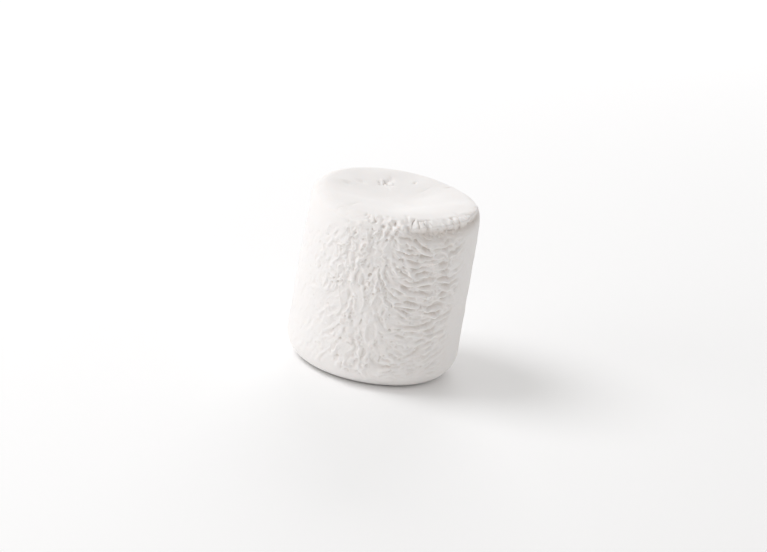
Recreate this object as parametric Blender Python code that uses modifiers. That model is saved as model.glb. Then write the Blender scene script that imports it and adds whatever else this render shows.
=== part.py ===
"""A large white marshmallow: one soft cylinder of whipped sugar, set in starch and standing on its flat end.

The turned form has a dished top, a tight shoulder, a wall that widens a little downwards and a softly
rounded base with a shallow dimple. It is then worked as the real one is: at the front right the rim turns out
in a crisp, puckered lip over a groove, at the front left the shoulder slumps, and nothing is quite round.
The axis is z, the base rests on z = 0, and the puckered front faces -y.
"""

import math

import bpy

NAME = "marshmallow"

# Driving dimensions, in metres.
DIAMETER = 0.0290
HEIGHT = 0.0300
TAPER = 0.0002  # the wall's radius is this much less at the top
SHOULDER_ROUND = 0.0023
BASE_ROUND = 0.0039
DISH_DEPTH = 0.0014
DISH_TILT = 0.0005  # how far the dish leans down towards DISH_LOW_SIDE
DISH_LOW_SIDE = 115  # azimuths are in degrees, from +x towards +y, so the front is -90
DIMPLE_DEPTH = 0.0004
DIMPLE_RADIUS = 0.0065

# The lip at the front right, with the groove under it. Its edge draws up towards the crest as it goes round.
LIP_LINE = ((-90, 0.0029), (-80, 0.0027), (-68, 0.00235), (-40, 0.0021), (-15, 0.0015))  # azimuth, from the crest
LIP_START = -66
LIP_END = -10
LIP_FADE = 24  # degrees over which the lip dies away at each end
LIP_RISE = 0.00058
LIP_UPPER = 0.0010  # the lip's reach above its edge
LIP_UNDER = 0.0004  # and below it, where it is steep
GROOVE_BELOW = 0.0009  # from the lip's edge
GROOVE_UPPER = 0.00055
GROOVE_UNDER = 0.0012
GROOVE_DEPTH = 0.00048

# The folds that pucker the rim.
FOLDS = 40
FOLD_WOBBLE = ((3, 0.50, 40), (7, 0.20, 100), (13, 0.08, 10))  # waves round, share of a fold, turn
FOLD_PATCHES = ((5, 0.22, 70), (11, 0.20, 200), (17, 0.13, 20))  # waves round, share of the depth, turn
FOLD_DEPTH = 0.00026
FOLD_LEAST = 0.15  # share of the depth that is left away from the lip
FOLD_TOP = 0.0011  # the folds run down the outside from here
FOLD_FOOT = 0.003  # to here
FOLD_SOFT = 0.0010  # and die away over this much at either end

# Where the shoulder has slumped, at the front left and a little at the back: azimuth, degrees to either side,
# distance down the outside from the crest, reach and depth.
SLUMPS = ((-128, 60, 0.0014, 0.003, 0.00055), (80, 70, 0.0002, 0.0025, 0.0001))

# Where the base's edge is rounder, at the front right.
HEEL_AZIMUTH = -20
HEEL_SPREAD = 50
HEEL_DEPTH = 0.00014
HEEL_UP = 0.0013
HEEL_TOP = 0.0045

# Broad hollows and swellings: waves round, waves up, turn and rise.
UNEVEN = ((2, 0.6, 20, 0.00007), (3, 1.1, 130, 0.00007), (5, 1.7, 250, 0.00005))

STEPS = 180
DISH_ROWS = 7
SHOULDER_ROWS = 8
WALL_ROWS = 7
WALL_CROWDING = 1.7  # over 1 draws the wall's rows up towards the rim
BASE_ROWS = 5
DIMPLE_ROWS = 2
AXIS_MERGE = 0.00001  # only the two points on the axis lie this near it

BASE_RADIUS = DIAMETER / 2
TOP_RADIUS = BASE_RADIUS - TAPER
CREST_RADIUS = TOP_RADIUS - SHOULDER_ROUND
FOOT_RADIUS = BASE_RADIUS - BASE_ROUND


def clear_scene():
    for item in list(bpy.data.objects):
        bpy.data.objects.remove(item)


def arc(centre, radius, start, end, rows):
    """Points round a centre from one angle to another, in degrees up from +r, leaving out the first."""
    points = []
    for row in range(1, rows + 1):
        angle = math.radians(start + (end - start) * row / rows)
        points.append((centre[0] + radius * math.cos(angle), centre[1] + radius * math.sin(angle)))
    return points


def bowl(radius, depth, rows):
    """(r, depth) from the middle of a smooth round hollow out to its brim."""
    return [(radius * row / rows, depth * (1 - (row / rows) ** 2) ** 2) for row in range(rows + 1)]


def profile():
    """(r, z) points of half the section, from the middle of the dish, down the wall, to the dimple."""
    points = [(r, HEIGHT - depth) for r, depth in bowl(CREST_RADIUS, DISH_DEPTH, DISH_ROWS)]
    points += arc((CREST_RADIUS, HEIGHT - SHOULDER_ROUND), SHOULDER_ROUND, 90, 0, SHOULDER_ROWS)
    top_of_wall = HEIGHT - SHOULDER_ROUND
    for row in range(1, WALL_ROWS + 1):
        down = (row / WALL_ROWS) ** WALL_CROWDING
        points.append((TOP_RADIUS + TAPER * down, top_of_wall + (BASE_ROUND - top_of_wall) * down))
    points += arc((FOOT_RADIUS, BASE_ROUND), BASE_ROUND, 0, -90, BASE_ROWS)
    points += [(r, depth) for r, depth in reversed(bowl(DIMPLE_RADIUS, DIMPLE_DEPTH, DIMPLE_ROWS))]
    return points


def turned_mesh():
    """The profile turned about z, as a real mesh."""
    points = profile()
    outline = bpy.data.meshes.new("outline")
    edges = [(i, i + 1) for i in range(len(points) - 1)]
    outline.from_pydata([(r, 0, z) for r, z in points], edges, [])
    guide = bpy.data.objects.new("outline", outline)
    bpy.context.scene.collection.objects.link(guide)
    screw = guide.modifiers.new("turn", "SCREW")
    screw.steps = STEPS
    screw.render_steps = STEPS
    screw.use_merge_vertices = True
    screw.merge_threshold = AXIS_MERGE
    bpy.context.view_layer.update()
    solid = bpy.data.meshes.new_from_object(guide.evaluated_get(bpy.context.evaluated_depsgraph_get()))
    bpy.data.objects.remove(guide)
    bpy.data.meshes.remove(outline)
    return solid


def ease(low, high, value):
    """0 at low and 1 at high, which may be the lesser, with a smooth turn at both."""
    share = min(max((value - low) / (high - low), 0), 1)
    return share * share * (3 - 2 * share)


def near(azimuth, centre, spread):
    """1 at the centre azimuth, falling to 0 a spread away on either side."""
    return ease(spread, 0, abs((azimuth - centre + 180) % 360 - 180))


def waves_round(azimuth, waves):
    """A sum of sines round the axis, each given as waves round, share and turn."""
    return sum(share * math.sin(math.radians(count * azimuth + turn)) for count, share, turn in waves)


def fold(azimuth):
    """About -1 in the creases between the rim's folds and 0 on their backs."""
    phase = FOLDS * azimuth / 360 + waves_round(azimuth, FOLD_WOBBLE)
    depth = 0.85 + waves_round(azimuth, FOLD_PATCHES)
    return depth * (abs(math.sin(math.pi * phase)) - 1)


def from_crest(radius, height):
    """How far a point of the upper half is down the outside from the crest, and less than 0 in the dish."""
    top_of_wall = HEIGHT - SHOULDER_ROUND
    if radius < CREST_RADIUS:
        return radius - CREST_RADIUS
    if height > top_of_wall:
        return SHOULDER_ROUND * math.atan2(radius - CREST_RADIUS, height - top_of_wall)
    return SHOULDER_ROUND * math.pi / 2 + top_of_wall - height


def band(down, above, below):
    """1 at 0 down, falling smoothly to nothing, over one reach above it and another below it."""
    return math.exp(-((down / (above if down < 0 else below)) ** 2))


def lip_edge(azimuth):
    """How far the lip's edge is from the crest, from LIP_LINE."""
    for (start, high), (end, low) in zip(LIP_LINE, LIP_LINE[1:]):
        if start <= azimuth <= end:
            return high + (low - high) * (azimuth - start) / (end - start)
    return LIP_LINE[0][1] if azimuth < LIP_LINE[0][0] else LIP_LINE[-1][1]


def rim_rise(azimuth, down):
    """How far the rim stands out: the lip with its groove, less the folds and the slumps."""
    lipped = ease(LIP_START - LIP_FADE, LIP_START, azimuth) * ease(LIP_END + LIP_FADE, LIP_END, azimuth)
    below = down - lip_edge(azimuth)
    amount = lipped * LIP_RISE * band(below, LIP_UPPER, LIP_UNDER)
    amount -= lipped * GROOVE_DEPTH * band(below - GROOVE_BELOW, GROOVE_UPPER, GROOVE_UNDER)
    folded = ease(FOLD_TOP - FOLD_SOFT, FOLD_TOP, down) * ease(FOLD_FOOT + FOLD_SOFT, FOLD_FOOT, down)
    amount += FOLD_DEPTH * (FOLD_LEAST + (1 - FOLD_LEAST) * lipped) * fold(azimuth) * folded
    for place, spread, middle, reach, depth in SLUMPS:
        amount -= depth * near(azimuth, place, spread) * band(down - middle, reach, reach)
    return amount


def heel_rise(azimuth, height):
    """How far the base's edge stands out, which is nothing on the floor and above HEEL_TOP."""
    edge = ease(0, HEEL_UP, height) * ease(HEEL_TOP, HEEL_UP, height)
    return -HEEL_DEPTH * near(azimuth, HEEL_AZIMUTH, HEEL_SPREAD) * edge


def rise(azimuth, radius, height):
    """How far the surface stands out from the turned form along its normal."""
    upper = height > HEIGHT / 2
    amount = rim_rise(azimuth, from_crest(radius, height)) if upper else heel_rise(azimuth, height)
    loose = ease(0, BASE_ROUND, height) * ease(0, FOOT_RADIUS, radius)
    for waves, up, turn, most in UNEVEN:
        round_wave = math.sin(math.radians(waves * azimuth + turn))
        amount += most * round_wave * math.cos(math.pi * up * height / HEIGHT + waves) * loose
    return amount


def work(mesh):
    """Moves the turned form's points to the hand-worked shape. Nothing at the base moves."""
    normals = [vertex.normal.copy() for vertex in mesh.vertices]
    for vertex, normal in zip(mesh.vertices, normals):
        x, y, z = vertex.co
        radius = math.hypot(x, y)
        azimuth = math.degrees(math.atan2(y, x))
        vertex.co += normal * rise(azimuth, radius, z)
        if z > HEIGHT / 2 and radius < CREST_RADIUS:
            share = radius / CREST_RADIUS
            lean = share * math.cos(math.radians(azimuth - DISH_LOW_SIDE))
            vertex.co.z -= DISH_TILT * lean * (1 - share**2)


def centre(mesh):
    """Puts the middle of the mesh's width and depth on the z axis."""
    for axis in (0, 1):
        places = [vertex.co[axis] for vertex in mesh.vertices]
        middle = (min(places) + max(places)) / 2
        for vertex in mesh.vertices:
            vertex.co[axis] -= middle


def dusted_sugar():
    """Set whipped sugar under a film of starch: near white, slightly warm and quite matt."""
    material = bpy.data.materials.new("dusted_sugar")
    material.use_nodes = True
    shader = material.node_tree.nodes["Principled BSDF"]
    shader.inputs["Base Color"].default_value = (0.86, 0.84, 0.81, 1)
    shader.inputs["Roughness"].default_value = 0.9
    shader.inputs["Metallic"].default_value = 0
    return material


def make_marshmallow(collection):
    mesh = turned_mesh()
    mesh.name = NAME
    work(mesh)
    centre(mesh)
    mesh.shade_smooth()
    mesh.materials.clear()
    mesh.materials.append(dusted_sugar())
    collection.objects.link(bpy.data.objects.new(NAME, mesh))


clear_scene()
parts = bpy.data.collections.new(NAME)
bpy.context.scene.collection.children.link(parts)
make_marshmallow(parts)
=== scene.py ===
"""A large white marshmallow on a pale studio floor: the wrinkled, starch-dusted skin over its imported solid.

The skin is one dense mesh. It starts as the solid's own turned form, takes the same lip, slumps, heel and
unevenness, and is then wrinkled: upright cells at the front left, level creases at the front right, calmer
flanks, small teeth at the rim and pits in the dish. Lengths are in millimetres unless a line says
otherwise. Azimuths are in degrees from +x towards +y, and degrees from the front grow to the right.
"""

import math

import bpy
import numpy as np
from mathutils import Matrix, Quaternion, Vector


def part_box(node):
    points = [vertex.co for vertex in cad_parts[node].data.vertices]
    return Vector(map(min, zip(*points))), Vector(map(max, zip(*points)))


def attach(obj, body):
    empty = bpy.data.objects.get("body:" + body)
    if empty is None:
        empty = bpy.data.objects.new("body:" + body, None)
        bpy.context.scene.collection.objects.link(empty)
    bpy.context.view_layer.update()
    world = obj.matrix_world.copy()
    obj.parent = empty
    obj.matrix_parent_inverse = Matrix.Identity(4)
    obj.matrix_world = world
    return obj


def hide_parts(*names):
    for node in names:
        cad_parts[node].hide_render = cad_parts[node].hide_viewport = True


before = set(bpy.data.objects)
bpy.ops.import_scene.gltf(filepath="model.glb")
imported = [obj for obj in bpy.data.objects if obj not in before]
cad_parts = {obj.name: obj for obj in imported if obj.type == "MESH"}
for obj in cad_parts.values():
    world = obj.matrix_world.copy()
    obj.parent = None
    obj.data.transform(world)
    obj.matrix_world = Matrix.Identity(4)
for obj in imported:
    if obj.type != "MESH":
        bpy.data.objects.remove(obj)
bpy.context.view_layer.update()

MM = 0.001  # in metres
NODE = "marshmallow"
FRONT = -90  # azimuth of the side that faces the camera
low_corner, high_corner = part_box(NODE)
middle = (low_corner + high_corner) / 2

# ---------------------------------------------------------------- the solid's form

BASE_RADIUS = 14.5
HEIGHT = 30.0
TAPER = 0.2  # the wall's radius is this much less at the top
SHOULDER_ROUND = 2.3
BASE_ROUND = 3.9
DISH_DEPTH = 1.4
DISH_TILT = 0.5  # how far the dish leans down towards DISH_LOW_SIDE
DISH_LOW_SIDE = 115
DIMPLE_DEPTH = 0.4
DIMPLE_RADIUS = 6.5

# The lip at the front right, with the groove under it. Its edge draws up towards the crest as it goes
# round: degrees from the front, and distance below the crest.
LIP_LINE = ((0, 2.9), (10, 2.7), (22, 2.35), (50, 2.1), (75, 1.5))
LIP_START = 24
LIP_END = 80
LIP_FADE = 24  # degrees over which the lip dies away at each end
LIP_RISE = 0.58
LIP_UPPER = 1.0  # the lip's reach above its edge
LIP_UNDER = 0.40  # and below it, where it is steep
LIP_CRISP = 1.3  # 2 is a rounded edge and 1 a sharp one
GROOVE_BELOW = 0.9  # from the lip's edge
GROOVE_UPPER = 0.55  # the groove's reach above its deepest line
GROOVE_UNDER = 1.2  # and below it
GROOVE_DEPTH = 0.48

# Where the shoulder has slumped: azimuth, degrees to either side, distance below the crest, reach, depth.
SLUMPS = ((-128, 60, 1.4, 3.0, 0.55), (80, 70, 0.2, 2.5, 0.10))

# Where the base's edge is rounder, at the front right.
HEEL_AZIMUTH = -20
HEEL_SPREAD = 50  # degrees to either side
HEEL_DEPTH = 0.14
HEEL_UP = 1.3  # from the floor, where it is deepest
HEEL_TOP = 4.5  # and where it ends

# Broad hollows and swellings: waves round, waves up, turn and rise.
UNEVEN = ((2, 0.6, 20, 0.07), (3, 1.1, 130, 0.07), (5, 1.7, 250, 0.05))

TOP_RADIUS = BASE_RADIUS - TAPER
CREST_RADIUS = TOP_RADIUS - SHOULDER_ROUND
FOOT_RADIUS = BASE_RADIUS - BASE_ROUND

# ---------------------------------------------------------------- the skin's grid

COLUMNS = 768
ROW_STEP = 2 * math.pi * TOP_RADIUS / COLUMNS
CALM_STEP = 0.35  # between rows where nothing is wrinkled
CALM_RADIUS = 6.0  # of the middle of the dish
SKIN_TRIANGLES = 190_000

# ---------------------------------------------------------------- the skin's patterns

# Chance hills, each with its size, and chance waves that run along the grain. A wave's spread is the share
# by which its spacing varies, and its run is how far it keeps on. More passes make it clearer.
ZONE_WANDER = {"seed": 11, "size": 2.5}
GRAIN_WANDER = {"seed": 9, "size": 2.0}
TOP_WANDER = {"seed": 23, "size": 1.2}
GAP_WANDER = {"seed": 43, "size": 1.2}
BUMPS = {"seed": 77, "size": 0.5}
PITS = {"seed": 31, "size": 0.35}
MOTTLING = {"seed": 51, "size": 2.5}
ROLLS = {"seed": 3, "spacing": 4.0, "spread": 0.4, "run": 1.0, "passes": 1}
CREASES = {"seed": 7, "spacing": 1.45, "spread": 0.5, "run": 0.38, "passes": 2}
VEINS = {"seed": 5, "spacing": 2.3, "spread": 0.7, "run": 0.34, "passes": 1}
NAP = {"seed": 4, "spacing": 0.6, "spread": 0.4, "run": 0.15, "passes": 1}
GAPS = {"seed": 41, "spacing": 3.4, "spread": 0.7, "run": 0.5, "passes": 1}

# The seeds of the patches in which each pattern is stronger or weaker.
VEIN_PATCHES = 21
BUMP_PATCHES = 22
CREASE_PATCHES = 23
GAP_PATCHES = 24
PATCH_SIZE = 1.1
PATCH_MIDDLE = 0.6  # a pattern's share between the weakest and the strongest patches
PATCH_VARIES = 0.6  # how far the share goes either way
PATCH_MOST = 1.6

# How the waves are made.
DIRECTIONS = 12  # that waves are made in, evenly round half a turn
PASS_PUSH = 1.2  # how hard a pass pushes them towards even crests and troughs
LEVEL_CLOSER = 0.18  # level waves are closer by this share of the spacing
LEVEL_EVENER = 0.25  # more even by this share of the spread
LEVEL_LONGER = 1.6  # and longer by this share of the run

# How far each pattern stands out or goes in where its strength is 1.
ROLL_RISE = 0.08
CREASE_RISE = 0.10
VEIN_RISE = 0.15
VEIN_WIDTH = 0.6  # of a wave's spread
BUMP_RISE = 0.05
PIT_DEPTH = 0.25
NAP_RISE = 0.012
RIM_ROLL_RISE = 0.12
RIM_BUMP_RISE = 0.06
GAP_DEPTH = 0.25
GAP_WIDTH = 0.4  # of a wave's spread
MOTTLING_RISE = 0.05
MOTTLING_CELLS = 256  # along each side of its square, which repeats
CLEAR = 1.5  # the more, the flatter the tops and the steeper the sides of creases and bumps

# What changes where the wall is creased level.
LEVEL_CREASES_MORE = 0.6  # by this share
LEVEL_BUMPS_LESS = 0.25
LEVEL_PITS_LESS = 0.5
LEVEL_LOW_CALMER = 0.15  # added to LOW_CALMER

# And what changes elsewhere.
TOP_WAVES_LESS = 0.65  # just under the rim, the share of creases and veins that is gone
TOP_BUMPS_MORE = 0.09  # and how much is added to BUMP_RISE
LOW_CALMER = 0.25  # low on the wall, the share of all wrinkles that is gone
CELL_CALM = 0.8  # on a cell's floor, the share of the fine relief that is gone
RIM_LEAST = 0.15  # the share of the rim's teeth that is left away from the front right

# How far things stray from their keyed places, in degrees unless said.
ZONE_STRAY = 4  # the zones round the marshmallow
STRENGTH_STRAY = 0.6  # the share of the same that STRENGTH takes
GRAIN_STRAY = 11  # the wrinkles' direction
GAP_STRAY = 20  # the direction of the gaps between the rim's teeth
TOP_STRAY = 0.6  # mm, the wrinkles' upper border
UPRIGHT = 90
UPRIGHT_SHARE = 0.7  # how far wrinkles turn upright on the shoulder

# Ranges over which something comes in, from nothing at the first number to all of it at the second.
# Degrees are from the front, and distances below the crest unless said.
SHOULDER_IN = (5.0, 3.0)  # the turn upright
TOP_IN = (6.5, 3.5)  # the change from creases and veins to bumps
LEVEL_LEFT = (6, 16)  # degrees, the level creases' left side
LEVEL_RIGHT = (75, 55)  # degrees, and their right side
PITS_IN = (1.7, 2.7)  # of the hills' spread, so that only a few hills give pits
FOOT_IN = (0.8, 4.5)  # up from the floor, all of the wall's wrinkles
LOW_IN = (18, 9)  # up from the floor, the calmer lower wall
WALL_IN = (0, 1.6)  # below the wrinkles' upper border
RIM_LEFT = (-24, -8)  # degrees, the left side of the rim's teeth
RIM_RIGHT = (100, 60)  # degrees, and their right side
RIM_UPPER = (0.2, 1.2)  # their top
RIM_LOWER = (3.6, 2.4)  # and their foot
SAG_IN = (3.0, 5.0)
DISH_IN = (1.5, -1.0)  # the mottling

SAG = 0.5  # how far a wrinkle hangs down, as a share of its rise
SHADED_CREASE_WIDTH = 0.4  # the size of what counts as a crease for the painted crease shade
SHADED_CREASE_FULL = 0.12  # the depth at which the painted crease shade is full

# Wrinkle direction round the marshmallow: degrees from the front, and degrees up from level.
GRAIN = (
    (-180, 80), (-120, 60), (-60, 58), (-35, 70), (-8, 84), (-1, 104), (4, 132), (9, 156), (13, 172),
    (20, 180), (35, 184), (46, 195), (60, 220), (110, 250), (180, 260),
)
# How strongly the skin is wrinkled round the marshmallow: degrees from the front, and strength.
STRENGTH = (
    (-180, 0.7), (-140, 0.8), (-105, 0.45), (-75, 0.15), (-55, 0.28), (-38, 0.55), (-27, 0.9), (-19, 1.1),
    (0, 1.1), (6, 1.1), (12, 1.8), (36, 2.0), (50, 0.9), (60, 0.25), (75, 0.1), (105, 0.4), (140, 0.8),
    (180, 0.7),
)
# How far below the crest the wall's wrinkles begin: degrees from the front, and distance.
WRINKLE_TOP = (
    (-180, 4.0), (-90, 7.0), (-60, 6.5), (-45, 4.5), (-30, 3.2), (-17, 2.4), (0, 1.8), (50, 2.4), (75, 3.5),
    (110, 4.0), (180, 4.0),
)

# Large shallow cells with a raised outline: degrees from the front, distance up, half width, half height
# and rise.
CELLS = (
    (-2, 10.2, 0.95, 2.0, 0.16), (-0.5, 15.2, 0.85, 1.5, 0.13), (-13, 15.0, 0.8, 1.9, 0.12),
    (-5.5, 19.5, 0.5, 1.0, 0.10), (-24, 15.0, 0.6, 1.2, 0.08), (36, 24.5, 1.2, 0.75, 0.22),
)
CELL_OUTLINE = 0.28  # how wide the outline is, as a share of the cell
CELL_FLOOR = 0.95  # how far out the calm floor reaches
CELL_FLOOR_EDGE = 6  # how sharply it ends

# Single dents, and knobs where the depth is less than 0: degrees from the front, distance below the crest,
# which is less than 0 in the dish, half width, half height and depth.
RIM_DENTS = (
    (-5.5, 2.9, 0.35, 0.40, 0.55), (-7, 1.5, 0.22, 0.70, 0.22), (-3.5, 0.4, 0.22, 0.30, 0.14),
    (2.5, 1.9, 0.25, 0.45, 0.35), (11, 0.4, 0.20, 0.90, 0.22), (11.5, 2.6, 0.40, 0.45, 0.40),
    (15, 2.0, 0.22, 0.50, 0.20), (20.5, 1.15, 0.50, 0.20, 0.25), (25.5, 2.3, 0.38, 0.60, 0.55),
    (27, 1.0, 0.40, 0.20, 0.18), (23, 3.5, 0.40, 0.20, 0.35), (17.5, 4.6, 0.35, 0.30, 0.40),
    (13.5, 4.7, 0.25, 0.25, 0.25), (25, 5.2, 0.50, 0.22, 0.30), (42, 4.8, 0.22, 0.50, 0.20),
    (47.5, 0.9, 0.40, 0.30, 0.35), (58, 0.3, 0.25, 0.50, 0.20), (-10, 4.0, 0.25, 0.30, 0.25),
    (-24, 5.2, 0.30, 0.35, 0.25), (-20, 1.0, 0.22, 0.50, 0.15), (-12.5, 2.1, 0.35, 0.50, -0.15),
    (-1, 1.9, 0.30, 0.60, -0.20), (12.5, 0.3, 0.45, 0.60, -0.10), (51, 1.3, 0.45, 0.50, -0.20),
)
DISH_DENTS = (
    (-163, -4.8, 0.32, 0.50, 0.75), (-158, -5.6, 0.24, 0.32, 0.40), (-167, -4.2, 0.25, 0.35, 0.25),
    (-165, -6.2, 0.36, 0.45, 0.75), (-153, -5.0, 0.25, 0.45, 0.35), (-158, -4.4, 0.25, 0.40, -0.15),
    (-157, -6.8, 0.30, 0.35, -0.22), (-151, -6.1, 0.30, 0.40, 0.35), (-170, -5.3, 0.26, 0.40, -0.15),
    (-171, -3.4, 0.40, 0.80, 0.15), (-173, -6.4, 0.25, 0.35, 0.15), (162, -3.2, 0.25, 0.60, 0.20),
    (-128, -4.1, 0.70, 0.90, 0.22), (-106, -3.2, 0.60, 0.80, 0.22), (143, -4.6, 0.30, 1.00, 0.10),
    (134, -0.5, 0.25, 0.70, 0.12), (-38, -1.0, 0.30, 1.20, 0.10), (10, -0.2, 0.25, 0.70, 0.12),
)

# ---------------------------------------------------------------- the finish

SUGAR = "#f4f1ef"
# Painted shade, and partly a thinner film of starch: the darker, warmer colour of creases and of the groove
# under the lip.
SUGAR_SHADED_IN_CREASES = "#e3ddd8"
# Starch grains are about 0.02 across, too fine to show, so the dust is drawn as coarse as it needs to show.
DUST_SIZE = 0.35
DUST_HEIGHT = 0.03
SOFTENING = 0.3  # how far light goes inside the sugar
SOFTENING_BY_COLOUR = (1.0, 0.92, 0.85)  # red goes furthest

# ---------------------------------------------------------------- the studio

FLOOR_SIZE = 6  # metres
FLOOR_WHITE = "#ffffff"
LENS = 200
SENSOR_WIDTH = 36
CAMERA_ELEVATION = 19.1
CAMERA_DISTANCE = 0.714  # metres
CAMERA_ROLL = 9.4  # degrees, so that the marshmallow leans to the right in the picture
LIGHT_DISTANCE = 0.6  # metres
LIGHT_SIZE = 0.35  # metres
LIGHT_COLOUR = "#fbfcfe"
# Name, azimuth, elevation and watts.
LIGHTS = (
    ("key", 180, 52, 1.50),
    ("left_fill", -150, 18, 0.44),
    ("right_fill", 0, 40, 0.10),
    ("back", 90, 18, 1.07),
)
SURROUND = "#fefcfa"
SURROUND_STRENGTH = 0.53


# ---------------------------------------------------------------- turned form


def ease(low, high, value):
    """0 at low and 1 at high, which may be the lesser, with a smooth turn at both."""
    share = np.clip((value - low) / (high - low), 0, 1)
    return share * share * (3 - 2 * share)


def wrapped(degrees):
    """The same directions, as degrees from -180 to 180."""
    return (degrees + 180) % 360 - 180


def near(azimuths, centre, spread):
    """1 at the centre azimuth, falling to 0 a spread away on either side."""
    return ease(spread, 0, np.abs(wrapped(azimuths - centre)))


def bowl(radii, brim, depth):
    """A smooth round hollow's depth at each radius, from all of it in the middle to 0 at the brim."""
    return depth * (1 - np.clip(radii / brim, 0, 1) ** 2) ** 2


def arc(centre_r, centre_z, curve, start, end, step):
    """Points on a curve of this radius round a centre, in degrees up from +r, without the first."""
    count = round(abs(math.radians(end - start)) * curve / step)
    angles = np.radians(np.linspace(start, end, count + 1)[1:])
    return np.stack([centre_r + curve * np.cos(angles), centre_z + curve * np.sin(angles)], 1)


def line(start, end, step):
    """Points on the straight line from start to end, without the first."""
    count = round(math.dist(start, end) / step)
    return np.linspace(start, end, count + 1)[1:]


def section():
    """(r, z) of each row of the turned form, and the rows where the wrinkled part begins and ends."""
    calm = np.arange(CALM_STEP, CALM_RADIUS, CALM_STEP)
    brim = np.arange(CALM_RADIUS, CREST_RADIUS, ROW_STEP)
    across_dish = np.concatenate([calm, brim])
    dish = np.stack([across_dish, HEIGHT - bowl(across_dish, CREST_RADIUS, DISH_DEPTH)], 1)
    shoulder = arc(CREST_RADIUS, HEIGHT - SHOULDER_ROUND, SHOULDER_ROUND, 90, 0, ROW_STEP)
    wall = line((TOP_RADIUS, HEIGHT - SHOULDER_ROUND), (BASE_RADIUS, BASE_ROUND), ROW_STEP)
    foot = arc(FOOT_RADIUS, BASE_ROUND, BASE_ROUND, 0, -90, ROW_STEP)
    across_base = np.arange(FOOT_RADIUS, CALM_STEP, -CALM_STEP)[1:]
    base = np.stack([across_base, bowl(across_base, DIMPLE_RADIUS, DIMPLE_DEPTH)], 1)
    every_row = np.concatenate([dish, shoulder, wall, foot, base])
    return every_row, len(calm), len(every_row) - len(base)


rows, first_skin, last_skin = section()
radius = rows[:, :1]
height = rows[:, 1:]
azimuth = (np.arange(COLUMNS) * 360 / COLUMNS)[None, :]
front = wrapped(azimuth - FRONT)  # degrees from the front, less than 0 to the left
along = np.cumsum(np.hypot(*np.diff(rows, axis=0, prepend=rows[:1]).T))[:, None]
crest_along = along[np.argmax(rows[:, 0] >= CREST_RADIUS - ROW_STEP)]
from_crest = along - crest_along  # distance down the outside from the crest, less than 0 in the dish
skin_rows = slice(first_skin, last_skin)
skin_shape = (last_skin - first_skin, COLUMNS)


# ---------------------------------------------------------------- patterns


def frequencies(shape):
    """Waves per mm round the axis and down the rows, for a pattern of this shape."""
    return np.fft.rfftfreq(shape[1], ROW_STEP)[None, :], np.fft.fftfreq(shape[0], ROW_STEP)[:, None]


def smooth(pattern, size):
    """The pattern without what is smaller than about this size."""
    round_axis, down = frequencies(pattern.shape)
    keep = np.exp(-((math.pi * size) ** 2) * (round_axis**2 + down**2) / 2)
    return np.fft.irfft2(np.fft.rfft2(pattern) * keep, s=pattern.shape)


def swell(seed, size, shape=skin_shape):
    """Smooth chance hills of about this size, with a spread of 1."""
    hills = smooth(np.random.default_rng(seed).standard_normal(shape), size)
    return hills / hills.std()


def wrinkles(direction, seed, spacing, spread, run, passes):
    """Chance waves of this spacing that run along the local direction, with a spread of 1.

    spread is the share by which the spacing varies, and run how far a wave keeps on. Each pass after
    the first pushes the waves towards even crests and troughs, so that more passes give a clearer wave.
    """
    rng = np.random.default_rng(seed)
    shape = direction.shape
    round_axis, down = frequencies(shape)
    width = 180 / DIRECTIONS
    waves = rng.standard_normal(shape)
    for count in range(passes):
        spectrum = np.fft.rfft2(np.tanh(PASS_PUSH * waves) if count else waves)
        waves = np.zeros(shape)
        for turn in np.arange(DIRECTIONS) * width:
            c, s = math.cos(math.radians(turn)), math.sin(math.radians(turn))
            lengthwise = round_axis * c - down * s
            crosswise = np.abs(round_axis * s + down * c)
            level = c**2
            apart = spacing * (1 - LEVEL_CLOSER * level)
            varied = spread * (1 - LEVEL_EVENER * level)
            far = run * (1 + LEVEL_LONGER * level)
            off_spacing = ((crosswise * apart - 1) / varied) ** 2
            keep = np.exp(-off_spacing / 2 - (math.pi * far * lengthwise) ** 2)
            off_turn = np.abs((direction - turn + 90) % 180 - 90)  # a wave's two ends are alike
            share = np.clip(1 - off_turn / width, 0, None)
            waves += share * np.fft.irfft2(spectrum * keep, s=shape)
        waves /= waves.std()
    return waves


def ridges(waves, width):
    """1 along the lines where the waves cross their middle, and 0 more than about this width away."""
    return np.exp(-((waves / width) ** 2))


def patches(seed):
    """How much of a pattern there is from place to place, from 0 to PATCH_MOST."""
    return np.clip(PATCH_MIDDLE + PATCH_VARIES * swell(seed, PATCH_SIZE), 0, PATCH_MOST)


def mottling(across, back):
    """Smooth chance hills over the dish, with a spread of 1."""
    hills = swell(**MOTTLING, shape=(MOTTLING_CELLS, MOTTLING_CELLS))
    x, y = across / ROW_STEP, back / ROW_STEP
    column, row = np.floor(x).astype(int), np.floor(y).astype(int)
    total = 0
    for right, right_share in ((0, 1 - x % 1), (1, x % 1)):
        for up, up_share in ((0, 1 - y % 1), (1, y % 1)):
            corner = hills[(row + up) % MOTTLING_CELLS, (column + right) % MOTTLING_CELLS]
            total = total + right_share * up_share * corner
    return total


def between_keys(keys, degrees):
    """A value between (degrees from the front, value) pairs, going straight from one to the next."""
    places, values = np.array(keys, float).T
    return np.interp(degrees, places, values)


# ---------------------------------------------------------------- relief


def lip():
    """How far the crisp lip at the front right stands out, and how deep the groove under it is."""
    share = ease(LIP_START - LIP_FADE, LIP_START, front) * ease(LIP_END + LIP_FADE, LIP_END, front)
    below = from_crest - between_keys(LIP_LINE, front)
    edge = np.exp(-(np.abs(below / np.where(below < 0, LIP_UPPER, LIP_UNDER)) ** LIP_CRISP))
    deeper = below - GROOVE_BELOW
    groove = np.exp(-((deeper / np.where(deeper < 0, GROOVE_UPPER, GROOVE_UNDER)) ** 2))
    return share * LIP_RISE * edge, share * GROOVE_DEPTH * groove


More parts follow.
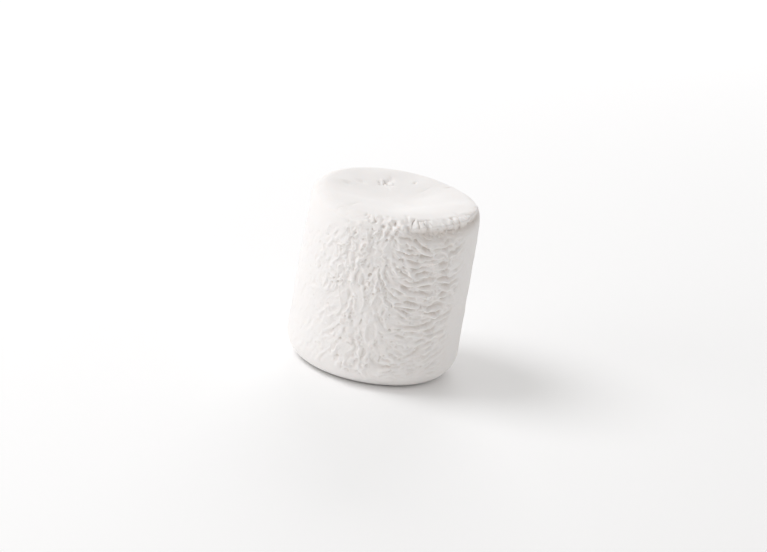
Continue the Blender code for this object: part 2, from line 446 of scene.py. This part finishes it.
def broad_form():
    """The rises and hollows that the solid has too."""
    edge, groove = lip()
    amount = edge - groove
    for place, spread, down, reach, depth in SLUMPS:
        slump = np.exp(-(((from_crest - down) / reach) ** 2))
        amount = amount - depth * near(azimuth, place, spread) * slump
    heel = ease(0, HEEL_UP, height) * ease(HEEL_TOP, HEEL_UP, height) * (height < HEIGHT / 2)
    amount = amount - HEEL_DEPTH * near(azimuth, HEEL_AZIMUTH, HEEL_SPREAD) * heel
    loose = ease(0, BASE_ROUND, height) * ease(0, FOOT_RADIUS, radius)
    for waves, up, turn, most in UNEVEN:
        round_wave = np.sin(np.radians(waves * azimuth + turn))
        amount = amount + most * round_wave * np.cos(np.pi * up * height / HEIGHT + waves) * loose
    return amount


def cells():
    """The large cells' raised outlines, and how far inside one each point is, 0 to 1."""
    outline, inside = 0, 0
    for place, up, half_width, half_height, rise in CELLS:
        sideways = np.radians(front - place) * radius[skin_rows]
        off = np.hypot(sideways / half_width, (height[skin_rows] - up) / half_height)
        outline = outline + rise * np.exp(-(((off - 1) / CELL_OUTLINE) ** 2))
        inside = inside + np.exp(-((off / CELL_FLOOR) ** CELL_FLOOR_EDGE))
    return outline, np.clip(inside, 0, 1)


def dents():
    """The single dents' depth."""
    deep = 0
    for place, down, half_width, half_height, depth in RIM_DENTS + DISH_DENTS:
        sideways = np.radians(wrapped(front - place)) * radius[skin_rows]
        off_down = ((from_crest[skin_rows] - down) / half_height) ** 2
        deep = deep + depth * np.exp(-((sideways / half_width) ** 2) - off_down)
    return deep


def grain_direction(wander):
    """The wrinkles' direction, in degrees up from level."""
    direction = between_keys(GRAIN, wrapped(front + wander)) + GRAIN_STRAY * swell(**GRAIN_WANDER)
    on_shoulder = ease(*SHOULDER_IN, from_crest[skin_rows])
    return direction + on_shoulder * (UPRIGHT - direction) * UPRIGHT_SHARE


def wall_strength(wander, level):
    """How strongly the wall is wrinkled from place to place."""
    up, down = height[skin_rows], from_crest[skin_rows]
    calmer = (LOW_CALMER + LEVEL_LOW_CALMER * level) * ease(*LOW_IN, up)
    low_edge = ease(*FOOT_IN, up) * (1 - calmer)
    top = between_keys(WRINKLE_TOP, front) + TOP_STRAY * swell(**TOP_WANDER)
    high_edge = ease(*WALL_IN, down - top)
    strength = between_keys(STRENGTH, wrapped(front + STRENGTH_STRAY * wander))
    return strength * low_edge * high_edge


def wall_relief(wander, direction, rolls, bumps):
    """The wall's wrinkles: rolls, creases, veins, bumps, pits and nap, and the large cells."""
    near_rim = ease(*TOP_IN, from_crest[skin_rows])
    level = ease(*LEVEL_LEFT, front) * ease(*LEVEL_RIGHT, front)
    creases = np.tanh(CLEAR * wrinkles(direction, **CREASES))
    creases = CREASE_RISE * (1 + LEVEL_CREASES_MORE * level) * creases * patches(CREASE_PATCHES)
    veins = VEIN_RISE * ridges(wrinkles(direction, **VEINS), VEIN_WIDTH) * patches(VEIN_PATCHES)
    bump_rise = (BUMP_RISE + TOP_BUMPS_MORE * near_rim) * (1 - LEVEL_BUMPS_LESS * level)
    waves_share = 1 - TOP_WAVES_LESS * near_rim
    fine = waves_share * (creases + veins) + bump_rise * bumps * patches(BUMP_PATCHES)
    pits = PIT_DEPTH * (1 - LEVEL_PITS_LESS * level) * ease(*PITS_IN, swell(**PITS))
    nap = NAP_RISE * wrinkles(direction, **NAP)
    outline, inside = cells()
    relief = ROLL_RISE * rolls + (1 - CELL_CALM * inside) * (fine - pits) + nap
    return wall_strength(wander, level) * relief + outline


def rim_relief(rolls, bumps):
    """The rim's small teeth, with gaps between them, most of all at the front right."""
    gap_direction = UPRIGHT + GAP_STRAY * swell(**GAP_WANDER)
    gaps = ridges(wrinkles(gap_direction, **GAPS), GAP_WIDTH)
    puckered = RIM_LEAST + (1 - RIM_LEAST) * ease(*RIM_LEFT, front) * ease(*RIM_RIGHT, front)
    down = from_crest[skin_rows]
    rim = puckered * ease(*RIM_UPPER, down) * ease(*RIM_LOWER, down)
    teeth = RIM_ROLL_RISE * rolls + RIM_BUMP_RISE * bumps
    return rim * (teeth - GAP_DEPTH * gaps * patches(GAP_PATCHES))


def skin_relief():
    """The fine relief of the wrinkled rows, and how deep in a crease each point is, 0 to 1, for the painted
    shade in creases.
    """
    wander = ZONE_STRAY * swell(**ZONE_WANDER)
    direction = grain_direction(wander)
    rolls = np.tanh(wrinkles(direction, **ROLLS))
    bumps = np.tanh(CLEAR * swell(**BUMPS))
    relief = wall_relief(wander, direction, rolls, bumps) + rim_relief(rolls, bumps) - dents()
    return relief, np.clip((smooth(relief, SHADED_CREASE_WIDTH) - relief) / SHADED_CREASE_FULL, 0, 1)


# ---------------------------------------------------------------- skin


def skin_points():
    """Every grid point of the skin, and its painted shade, 0 to 1: how deep it is in a crease, and in the
    groove under the lip.
    """
    slope = np.gradient(rows, axis=0)
    out = np.stack([-slope[:, 1], slope[:, 0]], 1)
    out /= np.linalg.norm(out, axis=1, keepdims=True)
    turn = np.radians(azimuth)
    upper = height > HEIGHT / 2
    amount = broad_form()
    in_dish = ease(*DISH_IN, from_crest) * upper
    amount = amount + in_dish * MOTTLING_RISE * mottling(radius * np.cos(turn), radius * np.sin(turn))
    fine, fine_crease_shade = skin_relief()
    amount[skin_rows] += fine
    # Painted shade: the groove under the lip is tinted darker, like the creases.
    crease_shade = lip()[1] / GROOVE_DEPTH
    crease_shade[skin_rows] = np.maximum(crease_shade[skin_rows], fine_crease_shade)
    r = radius + out[:, :1] * amount
    z = height + out[:, 1:] * amount
    z[skin_rows] -= SAG * fine * ease(*SAG_IN, from_crest[skin_rows])
    share = np.clip(radius / CREST_RADIUS, 0, 1)
    lean = share * np.cos(np.radians(azimuth - DISH_LOW_SIDE)) * (1 - share**2)
    z = z - DISH_TILT * lean * upper
    return np.stack([r * np.cos(turn), r * np.sin(turn), z], 2), crease_shade


def dense_mesh():
    """The whole grid as a closed mesh in metres with its painted crease shade, and how many triangles it
    comes to.
    """
    points, crease_shade = skin_points()
    flat = points.reshape(-1, 3)
    poles = np.array([[0, 0, points[0, :, 2].mean()], [0, 0, points[-1, :, 2].mean()]])
    grid = np.arange(len(flat)).reshape(len(points), COLUMNS)
    beside = np.roll(grid, -1, axis=1)
    quads = np.stack([grid[:-1], grid[1:], beside[1:], beside[:-1]], 2).reshape(-1, 4)
    top, base = len(flat), len(flat) + 1
    caps = [(top, a, b) for a, b in zip(grid[0], beside[0])]
    caps += [(base, b, a) for a, b in zip(grid[-1], beside[-1])]
    mesh = bpy.data.meshes.new("skin")
    mesh.from_pydata((np.concatenate([flat, poles]) * MM).tolist(), [], quads.tolist() + caps)
    depth = mesh.attributes.new("crease_shade", "FLOAT", "POINT")
    depth.data.foreach_set("value", np.concatenate([crease_shade.ravel(), [0, 0]]).astype(np.float32))
    return mesh, 2 * len(quads) + len(caps)


def make_skin():
    mesh, triangles = dense_mesh()
    dense = bpy.data.objects.new("dense", mesh)
    bpy.context.scene.collection.objects.link(dense)
    thin = dense.modifiers.new("thin", "DECIMATE")
    thin.ratio = SKIN_TRIANGLES / triangles
    bpy.context.view_layer.update()
    final = bpy.data.meshes.new_from_object(dense.evaluated_get(bpy.context.evaluated_depsgraph_get()))
    bpy.data.objects.remove(dense)
    final.name = "skin"
    final.shade_smooth()
    piece = bpy.data.objects.new("skin", final)
    bpy.context.scene.collection.objects.link(piece)
    return piece


# ---------------------------------------------------------------- materials


def linear(code):
    """A '#rrggbb' sRGB colour as linear red, green, blue and alpha."""
    parts = [int(code[i : i + 2], 16) / 255 for i in (1, 3, 5)]
    return [c / 12.92 if c <= 0.04045 else ((c + 0.055) / 1.055) ** 2.4 for c in parts] + [1]


def add(tree, kind, links=None, **settings):
    """A new node with its settings. Each of links is an input's name, with a socket to link or a value."""
    node = tree.nodes.new(kind)
    for name, value in settings.items():
        setattr(node, name, value)
    for name, source in (links or {}).items():
        if isinstance(source, bpy.types.NodeSocket):
            tree.links.new(source, node.inputs[name])
        else:
            node.inputs[name].default_value = source
    return node


def new_material(name):
    """A new material with its node tree and its shader."""
    material = bpy.data.materials.new(name)
    material.use_nodes = True
    return material, material.node_tree, material.node_tree.nodes["Principled BSDF"]


def dusted_sugar():
    """Whipped sugar set in starch: light goes in and comes out softened, under a dust without a shine.

    Its creases and the groove under the lip are painted a little darker and warmer: painted shade, with a
    thinner film of starch in the creases as well.
    """
    material, tree, shader = new_material("dusted_sugar")
    place = add(tree, "ShaderNodeTexCoord").outputs["Object"]
    # Painted shade: creases and the groove under the lip take the darker, warmer colour.
    crease_shade = add(tree, "ShaderNodeAttribute", attribute_name="crease_shade").outputs["Fac"]
    tint = add(
        tree, "ShaderNodeMix", data_type="RGBA",
        links={"Factor": crease_shade, "A": linear(SUGAR), "B": linear(SUGAR_SHADED_IN_CREASES)},
    )
    tree.links.new(tint.outputs["Result"], shader.inputs["Base Color"])
    dust = add(
        tree, "ShaderNodeTexNoise",
        links={"Vector": place, "Scale": 1 / (DUST_SIZE * MM), "Detail": 3.0},
    )
    bump = add(
        tree, "ShaderNodeBump",
        links={"Height": dust.outputs["Fac"], "Distance": DUST_HEIGHT * MM, "Strength": 1.0},
    )
    tree.links.new(bump.outputs["Normal"], shader.inputs["Normal"])
    shader.inputs["Roughness"].default_value = 0.9
    shader.inputs["Subsurface Weight"].default_value = 0.4
    shader.inputs["Subsurface Radius"].default_value = SOFTENING_BY_COLOUR
    shader.inputs["Subsurface Scale"].default_value = SOFTENING * MM
    shader.inputs["Specular IOR Level"].default_value = 0.3
    shader.inputs["Sheen Weight"].default_value = 0.1
    return material


def painted_board():
    """Board under matt white paint: an even white without a shine, on which only the soft shadow shows."""
    material, _, shader = new_material("painted_board")
    shader.inputs["Base Color"].default_value = linear(FLOOR_WHITE)
    shader.inputs["Roughness"].default_value = 0.9
    shader.inputs["Specular IOR Level"].default_value = 0.1
    return material


# ---------------------------------------------------------------- studio


def make_floor():
    """A white floor, far wider than the view, under the marshmallow."""
    bpy.ops.mesh.primitive_plane_add(size=FLOOR_SIZE, location=(0, 0, 0))
    floor = bpy.context.object
    floor.name = "floor"
    floor.data.materials.append(painted_board())


def area_light(name, azimuth_deg, elevation, power):
    """A round soft light that faces the marshmallow's middle."""
    light = bpy.data.lights.new(name, "AREA")
    light.shape = "DISK"
    light.size = LIGHT_SIZE
    light.energy = power
    light.color = linear(LIGHT_COLOUR)[:3]
    holder = bpy.data.objects.new(name, light)
    a, e = math.radians(azimuth_deg), math.radians(elevation)
    aim = Vector((math.cos(a) * math.cos(e), math.sin(a) * math.cos(e), math.sin(e)))
    holder.location = middle + aim * LIGHT_DISTANCE
    holder.rotation_mode = "QUATERNION"
    holder.rotation_quaternion = aim.to_track_quat("Z", "Y")
    bpy.context.scene.collection.objects.link(holder)


def make_camera():
    """The camera in front, a little above, and rolled."""
    camera = bpy.data.cameras.new("camera")
    camera.lens = LENS
    camera.sensor_width = SENSOR_WIDTH
    holder = bpy.data.objects.new("camera", camera)
    e = math.radians(CAMERA_ELEVATION)
    back = Vector((0, -math.cos(e), math.sin(e)))
    holder.location = middle + back * CAMERA_DISTANCE
    holder.rotation_mode = "QUATERNION"
    roll = Quaternion((0, 0, 1), math.radians(CAMERA_ROLL))
    holder.rotation_quaternion = (-back).to_track_quat("-Z", "Y") @ roll
    bpy.context.scene.collection.objects.link(holder)
    bpy.context.scene.camera = holder


def light_studio():
    """The lights, an even glow from all round, and colours shown as they are."""
    for name, azimuth_deg, elevation, power in LIGHTS:
        area_light(name, azimuth_deg, elevation, power)
    world = bpy.data.worlds.new("studio")
    world.use_nodes = True
    glow = world.node_tree.nodes["Background"]
    glow.inputs["Color"].default_value = linear(SURROUND)
    glow.inputs["Strength"].default_value = SURROUND_STRENGTH
    bpy.context.scene.world = world
    bpy.context.scene.view_settings.view_transform = "Standard"


make_camera()
skin = make_skin()
skin.data.materials.append(dusted_sugar())
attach(skin, "root")
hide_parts(NODE)
make_floor()
light_studio()
